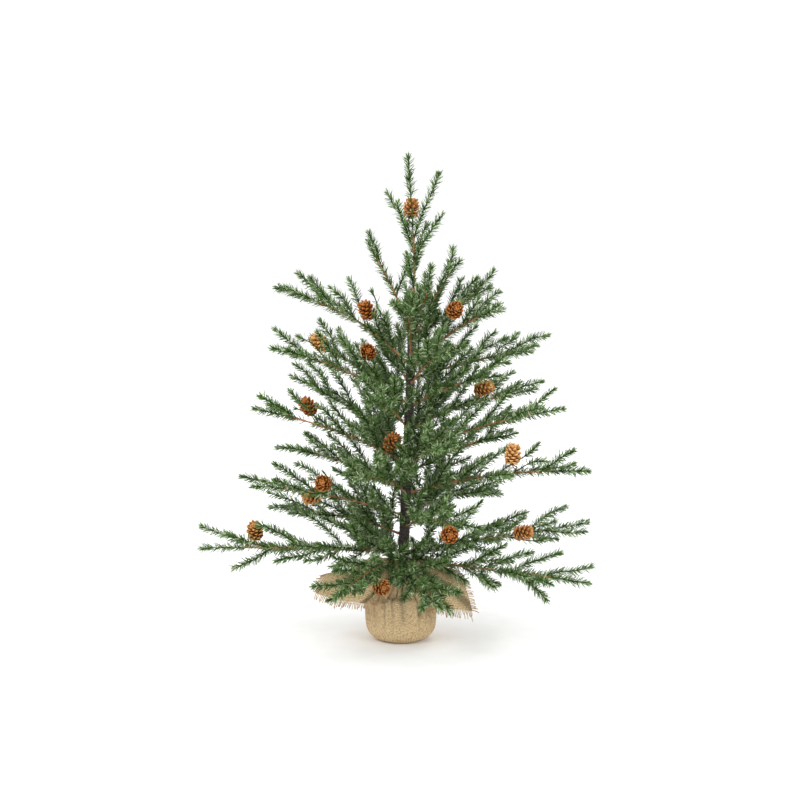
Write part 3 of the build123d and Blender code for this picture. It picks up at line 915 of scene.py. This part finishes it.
def make_cone(number, carrier, centre, direction, pale, wires):
    """An open pine cone: scales in a golden-angle spiral round a core, closing towards its tip."""
    rng = np.random.default_rng(500 + number)
    pile = Pile("edge", "shade", "pale")
    core_z = np.linspace(0, 1, 14)
    core_line = np.stack([0 * core_z, 0 * core_z, -CONE_LENGTH * 0.46 + core_z * CONE_LENGTH * 0.86], axis=1)
    core_radius = CONE_CORE * np.sin(pi * (0.14 + 0.78 * core_z)) ** 0.7
    verts, faces = tube(core_line, np.tile([0.0, 0.0, 1.0], (14, 1)), core_radius, 12)
    # the core, deep among the scales, gets the darkest painted shade
    pile.put(verts, faces, edge=0.0, shade=0.0, pale=pale)
    for k in range(CONE_SCALES):
        f = k / (CONE_SCALES - 1)
        rise = radians(2 + 74 * f ** 1.25)
        height = -CONE_LENGTH / 2 + 2.2 + f * (CONE_LENGTH - 9.0)
        belly = CONE_RADIUS * sin(pi * (0.24 + 0.68 * f)) ** 0.75
        reach = min(belly / cos(rise), (CONE_LENGTH / 2 - height) / max(sin(rise), 0.05))
        reach *= rng.uniform(0.95, 1.04)
        verts, faces, edge = cone_scale(reach, SCALE_WIDTH * (1 - 0.42 * f) * rng.uniform(0.92, 1.08))
        turn = k * GOLDEN_ANGLE + rng.normal(0, 0.05)
        out = verts[:, 0] * cos(rise) - verts[:, 2] * sin(rise)
        up = verts[:, 0] * sin(rise) + verts[:, 2] * cos(rise) + height
        x = out * cos(turn) - verts[:, 1] * sin(turn)
        y = out * sin(turn) + verts[:, 1] * cos(turn)
        pile.put(np.stack([x, y, up], axis=1), faces, edge=edge, shade=rng.uniform(0, 1), pale=pale)
    axis = unit(np.array(direction, dtype=float))
    side = unit(np.cross(axis, [0.0, 0.0, 1.0] if abs(axis[2]) < 0.95 else [0.0, 1.0, 0.0]))
    turned = np.stack([side, np.cross(axis, side), axis], axis=0)
    for k, verts in enumerate(pile.verts):
        pile.verts[k] = verts @ turned + np.array(centre, dtype=float)
    base = np.array(centre, dtype=float) - axis * (CONE_LENGTH / 2 - 2.0)
    held = wires[np.argmin(np.linalg.norm(wires - base, axis=1))]
    middle = (base + held) / 2 - axis * 1.5
    line, tangents, _ = along_line(curved((held, middle, base)), 1.0)
    verts, faces = tube(line, tangents, PICK_RADIUS, 8)
    pile.put(verts, faces, edge=0.35, shade=0.3, pale=0.2)
    body = "top_leader_body" if carrier == "leader" else carrier
    cone = pile.piece(f"pine_cone_{number:02d}", CONE, body, "cone_scales")
    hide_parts(f"cone_{number:02d}")


def wire_points(carrier):
    """Points along every wire of a branch, for its cones to be tied to."""
    if carrier == "leader":
        lines = [along_line(line, 2.0)[0] for line in leader_lines()]
    else:
        number = [row[0] for row in BRANCHES].index(carrier)
        row = BRANCHES[number]
        curve = branch_curve(row)
        lines = [np.array([bezier(curve, t) for t in np.linspace(0.05, 1, 60)])]
        lines += [along_line(curved(sprig), 2.0)[0] for sprig in branch_sprigs(row, number)]
    return np.vstack(lines)


# ---------- burlap


def smoothed(values, width, wrap=False):
    """The same numbers, averaged over a bell of this many samples."""
    reach = int(3 * width)
    bell = np.exp(-0.5 * (np.arange(-reach, reach + 1) / width) ** 2)
    padded = np.pad(values, reach, mode="wrap" if wrap else "edge")
    return np.convolve(padded, bell / bell.sum(), mode="valid")


def drum_profile():
    """Radius and height of the cloth by its distance from the middle, up to the end of the neck."""
    at = np.arange(0, NECK_END + 0.5, 0.5)
    flat = BASE_RADIUS - BASE_ROUNDING
    arc_end = flat + BASE_ROUNDING * pi / 2
    side_end = arc_end + SHOULDER - BASE_ROUNDING
    turn = np.clip((at - flat) / BASE_ROUNDING, 0, pi / 2)
    radius = np.where(at < flat, at, flat + BASE_ROUNDING * np.sin(turn))
    height = BASE_ROUNDING * (1 - np.cos(turn)) + np.clip(at - arc_end, 0, SHOULDER - BASE_ROUNDING)
    share = np.clip((at - side_end) / (NECK_START - side_end), 0, 1)
    radius = radius + (NECK_RADIUS - 0.6 - BASE_RADIUS) * share
    height = height + (NECK_LOW - SHOULDER) * share + np.clip(at - NECK_START, 0, NECK_END - NECK_START)
    keep = at < flat + 4
    return at, np.where(keep, radius, smoothed(radius, 5)), np.where(keep, height, smoothed(height, 5))


def corner_azimuths():
    """How far the cloth is turned at its hem, by flat direction: it fans out at its corners."""
    flat = np.arange(-180, 180, 0.5)
    knots, places = [], []
    for k, (_, corner, _, _) in enumerate(CORNERS):
        before = (corner - CORNERS[k - 1][1]) % 360
        after = (CORNERS[(k + 1) % 4][1] - corner) % 360
        turn = -45 + 90 * k
        knots += [turn - 14, turn, turn + 14]
        places += [corner - min(30, 0.4 * before), corner, corner + min(30, 0.4 * after)]
    knots = np.array(knots, dtype=float)
    places = np.array(places, dtype=float)
    knots = np.concatenate([knots - 360, knots, knots + 360])
    places = np.concatenate([places - 360, places, places + 360])
    spread = np.interp(flat, knots, places) - flat
    return flat, smoothed(spread, 8, wrap=True)


PROFILE = drum_profile()
FAN = corner_azimuths()


def pleat_depth(turn, sharpness):
    """0 on the round back of each pleat and 1 in the crease between two, by flat direction in radians."""
    phase = turn * PLEATS / (2 * pi) + 0.32 * np.sin(3 * turn + 1) + 0.18 * np.sin(7 * turn)
    share = phase - np.floor(phase)
    index = np.floor(phase).astype(int) % PLEATS
    weight = np.random.default_rng(12).uniform(0.45, 1.0, PLEATS)
    beside = weight[(index + np.where(share > 0.5, 1, -1)) % PLEATS]
    return (np.abs(share - 0.5) * 2) ** sharpness * (weight[index] + beside) / 2


def fold_back(angle, arch, droop, beyond):
    """Where a point past the neck hangs from a corner's fold: outwards, sideways and up, from the neck."""
    out = beyond * np.cos(angle)
    side = beyond * np.sin(angle)
    bent = np.clip(np.abs(side) / arch, 0, 1.25)
    spare = np.clip(np.abs(side) - 1.25 * arch, 0, None)
    sideways = np.sign(side) * (arch * np.sin(bent) + spare * cos(1.25))
    drop = arch * (1 - np.cos(bent)) + spare * sin(1.25)
    rise = 12 * np.sin(pi / 2 * np.clip(out / 40, -0.3, 1)) - droop * np.clip(out - 45, 0, None) ** 2
    return out, sideways, rise - drop


def pleats(turn, azimuth, distance):
    """How far the cloth on the drum lies inside its smooth shape, and how much painted shade darkens its
    creases and slits.
    """
    crease = pleat_depth(turn, np.interp(distance, [80, 104], [2.4, 1.15]))
    valley = np.interp(distance, CREASE_AT, CREASE_DEPTH)
    hump = np.interp(distance, HUMP_AT, HUMP_HEIGHT)
    inward = valley * crease - hump * (1 - crease)
    slits = np.zeros(distance.shape)
    for slit, width in SLITS:
        apart = (np.degrees(azimuth) - slit + 180) % 360 - 180
        cut = np.exp(-((apart / width) ** 2)) * smoothstep(66, 80, distance)
        inward = inward + (1.2 - inward) * cut
        slits = np.maximum(slits, cut)
    # painted shade: darkest in the pleats' creases and in the slits
    return inward, crease**1.6 * smoothstep(46, 88, distance) + slits


def hung_corners(turn, fanned, beyond):
    """Where the cloth past the neck lies, from the neck: each corner hangs over its own fold."""
    sector = ((np.degrees(turn) + 90) // 90).astype(int) % 4
    aside = (np.degrees(turn) + 45 - 90 * sector + 180) % 360 - 180
    hung = np.zeros((*turn.shape, 3))
    total = np.zeros(turn.shape)
    for k, (fold, _, arch, droop) in enumerate(CORNERS):
        offset = (sector - k + 2) % 4 - 2
        weight = np.clip((62 - np.abs(aside + 90 * offset)) / 34, 0, 1)
        angle = (fanned - radians(fold) + pi) % (2 * pi) - pi
        out, sideways, rise = fold_back(angle, arch, droop, beyond)
        x = out * cos(radians(fold)) - sideways * sin(radians(fold))
        y = out * sin(radians(fold)) + sideways * cos(radians(fold))
        hung += weight[..., None] * np.stack([x, y, rise], axis=-1)
        total += weight
    return hung / np.maximum(total, 1e-9)[..., None]


def ruffle_depth(turn, distance, beyond):
    """Depth of the waves that take up the spare cloth just past the neck."""
    flat, spread = FAN
    wave = pi * distance / PLEATS
    fan_slope = 1 + np.interp(np.degrees(turn), flat, np.gradient(spread, flat), period=360)
    narrow = wave * (beyond + NECK_RADIUS) / distance.clip(1) * fan_slope
    depth = RUFFLE * np.sqrt(np.clip(wave**2 - narrow**2, 0, None)) * smoothstep(0, 9, beyond)
    return depth * np.exp(-np.clip(beyond - 24, 0, None) / 26)


def cloth_points(p, q):
    """Maps the flat square to the wrapped, tied and hanging cloth, and to the painted shade in its folds."""
    distance = np.hypot(p, q)
    turn = np.arctan2(q, p)
    fanned = turn + np.radians(np.interp(np.degrees(turn), *FAN, period=360))
    azimuth = turn + (fanned - turn) * smoothstep(58, NECK_END, distance)
    inward, dark = pleats(turn, azimuth, distance)
    at, radii, heights = PROFILE
    radius = np.interp(distance, at, radii) - inward * np.interp(distance, at, np.gradient(heights, at))
    height = np.interp(distance, at, heights) + inward * np.interp(distance, at, np.gradient(radii, at))
    centre = trunk_x((NECK_LOW + NECK_HIGH) / 2) * smoothstep(92, NECK_START, distance)
    wrapped = np.stack([centre + radius * np.cos(azimuth), radius * np.sin(azimuth), height], axis=-1)
    beyond = np.clip(distance - NECK_END, 0, None)
    hung = hung_corners(turn, fanned, beyond)
    depth = ruffle_depth(turn, distance, beyond)
    ruffle = depth * np.cos(2 * PLEATS * turn + 1.1 * np.sin(3 * turn + 1) + 0.02 * beyond)
    hung[..., 2] += ruffle + 0.35 * depth
    # painted shade in the troughs of the ruffle
    dark = dark + smoothstep(-0.2, -1, ruffle / depth.clip(0.5)) * (depth > 1)
    return wrapped + hung * (distance > NECK_END)[..., None], np.clip(dark, 0, 1)


def make_burlap():
    """The burlap cloth as one sheet, with its frayed edges as pieces on it."""
    line = np.linspace(-CLOTH / 2, CLOTH / 2, CLOTH_GRID + 1)
    p, q = np.meshgrid(line + CLOTH_SHIFT[0], line + CLOTH_SHIFT[1], indexing="ij")
    verts, dark = cloth_points(p, q)
    quads = grid_faces(len(line), len(line))
    # fold: painted shade in the creases, slits and ruffle troughs
    values = {"fold": 0.85 * dark.ravel()}
    cloth = mesh_piece("burlap_cloth", verts.reshape(-1, 3), [quads], BURLAP, "root", values)
    layer = cloth.data.uv_layers.new(name="flat")
    flat = np.stack([p, q], axis=-1).reshape(-1, 2)[quads.ravel()] * MM
    layer.data.foreach_set("uv", flat.ravel())
    solid = cloth.modifiers.new("thickness", "SOLIDIFY")
    solid.thickness = CLOTH_THICKNESS * MM
    solid.offset = -1.0
    fringe = make_fringe()
    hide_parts("burlap_wrap", "burlap_corners")


def edge_point(side, t, inset):
    """A point on or inside one edge of the flat square, with t running along that edge in millimetres."""
    far = CLOTH / 2 - inset
    p, q = [(far, t), (-t, far), (-far, -t), (t, -far)][side]
    return p + CLOTH_SHIFT[0], q + CLOTH_SHIFT[1]


def make_fringe():
    """Warp or weft yarns left standing at the cloth's edges, and a few loose yarns that still cross them."""
    rng = np.random.default_rng(31)
    pile = Pile()
    for side in range(4):
        along = np.arange(-CLOTH / 2 + 1, CLOTH / 2 - 0.5, YARN_STEP)
        outer = np.array([edge_point(side, t, 0.0) for t in along])
        inner = np.array([edge_point(side, t, 3.0) for t in along])
        start, _ = cloth_points(outer[:, 0], outer[:, 1])
        back, _ = cloth_points(inner[:, 0], inner[:, 1])
        way = unit(start - back)
        crossing = []
        for k in range(len(along)):
            length = FRINGE * rng.uniform(0.8, 1.15)
            bend = rng.normal(0, 0.12, 3) + (0, 0, -0.22)
            t = np.linspace(0, 1, 6)[:, None]
            line = start[k] - way[k] * 1.0 + way[k] * (length + 1) * t + bend * length * t * t
            verts, faces = tube(line, directions(line), 0.55 * rng.uniform(0.8, 1.2), 5)
            pile.put(verts, faces)
            crossing.append(line[2] + (0, 0, 0.3) + rng.normal(0, 0.12, 3))
        for low, high in LOOSE_YARNS[side]:
            part = np.array(crossing[int(low * len(crossing)): int(high * len(crossing))])
            verts, faces = tube(part, directions(part), 0.38, 5)
            pile.put(verts, faces)
    return pile.piece("burlap_fringe", FRAYED, "root", "burlap")


def make_twine():
    """Two-ply jute twine wound round the neck."""
    t = np.linspace(0, 1, 520)
    angle = t * TWINE_TURNS * 2 * pi
    radius = NECK_RADIUS + 1.3
    middle = (NECK_LOW + NECK_HIGH) / 2
    centre = trunk_x(middle)
    height = middle + (t - 0.5) * 4.8
    line = np.stack([centre + radius * np.cos(angle), radius * np.sin(angle), height], axis=1)
    tangents = directions(line)
    outward = np.stack([np.cos(angle), np.sin(angle), 0 * angle], axis=1)
    up = np.cross(tangents, outward)
    pile = Pile()
    for ply in range(2):
        twist = (t * 110 + ply * pi)[:, None]
        strand = line + 0.5 * (outward * np.cos(twist) + up * np.sin(twist))
        verts, faces = tube(strand, directions(strand), 0.56, 7)
        pile.put(verts, faces)
    twine = pile.piece("twine_tie", TWINE, "root", "twine")
    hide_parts("neck_tie")


def dress_hidden_pieces():
    """Materials for the pieces inside the base."""
    cement = plain_look("cast_cement", (0.2, 0.19, 0.17), (0.42, 0.4, 0.37), 260.0, 0.9, 0.0012)
    plastic = plain_look("moulded_cup", (0.016, 0.016, 0.016), (0.03, 0.03, 0.03), 420.0, 0.5, 0.0003)
    greys = [(0.3, 0.3, 0.3), (0.46, 0.46, 0.47)]
    steel = plain_look("drawn_steel", *greys, 800.0, 0.34, 0.0002, Metallic=1.0)
    looks = {"base_weight": cement, "base_cup": plastic, "trunk_rod": steel}
    for node, material in looks.items():
        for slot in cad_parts[node].material_slots:
            slot.material = material


# ---------- light, floor and camera


def aim_at(thing, target):
    """Turns a lamp or camera so that it looks at a point."""
    thing.rotation_euler = (Vector(target) - thing.location).to_track_quat("-Z", "Y").to_euler()


def make_floor():
    mesh = bpy.data.meshes.new("floor")
    turn = np.arange(64) * 2 * pi / 64
    mesh.from_pydata([(60 * cos(a), 60 * sin(a), 0.0) for a in turn], [], [tuple(range(64))])
    pale = [(0.91, 0.91, 0.91), (0.94, 0.94, 0.94)]
    mesh.materials.append(plain_look("pale_floor", *pale, 40.0, 0.9, 0.0002, Specular_IOR_Level=0.0))
    added("floor", mesh)


def make_light():
    """White surroundings, and three soft lamps."""
    world = bpy.data.worlds.new("studio")
    world.use_nodes = True
    world.node_tree.nodes["Background"].inputs[0].default_value = (1.0, 1.0, 1.0, 1.0)
    world.node_tree.nodes["Background"].inputs[1].default_value = 1.12
    bpy.context.scene.world = world
    lamps = [
        ("key", (-1.3, -1.9, 2.1), 1.3, 34.0),
        ("fill", (1.9, -1.5, 1.2), 1.6, 12.0),
        ("back", (0.6, 2.2, 1.9), 1.2, 16.0),
    ]
    for name, place, size, power in lamps:
        light = bpy.data.lights.new(name, "AREA")
        light.size = size
        light.energy = power
        lamp = added(name, light)
        lamp.location = place
        aim_at(lamp, (0, 0, 0.3))
    bpy.context.scene.view_settings.view_transform = "Standard"


def make_camera():
    """Looks slightly down on the tree, with room round it in a square frame."""
    distance, elevation, field = 2.4, radians(8.0), 1.0056
    target = Vector((-0.001, 0.0, 0.307))
    lens = bpy.data.cameras.new("camera")
    lens.lens = 36.0 * distance / field
    camera = added("camera", lens)
    camera.location = target + distance * Vector((0, -cos(elevation), sin(elevation)))
    aim_at(camera, target)
    bpy.context.scene.camera = camera


make_camera()
make_floor()
make_light()
for number, row in enumerate(BRANCHES):
    make_branch(row, number)
make_leader()
make_trunk()
for number, (carrier, centre, direction, pale) in enumerate(CONES, start=1):
    make_cone(number, carrier, centre, direction, pale, wire_points(carrier))
make_burlap()
make_twine()
dress_hidden_pieces()
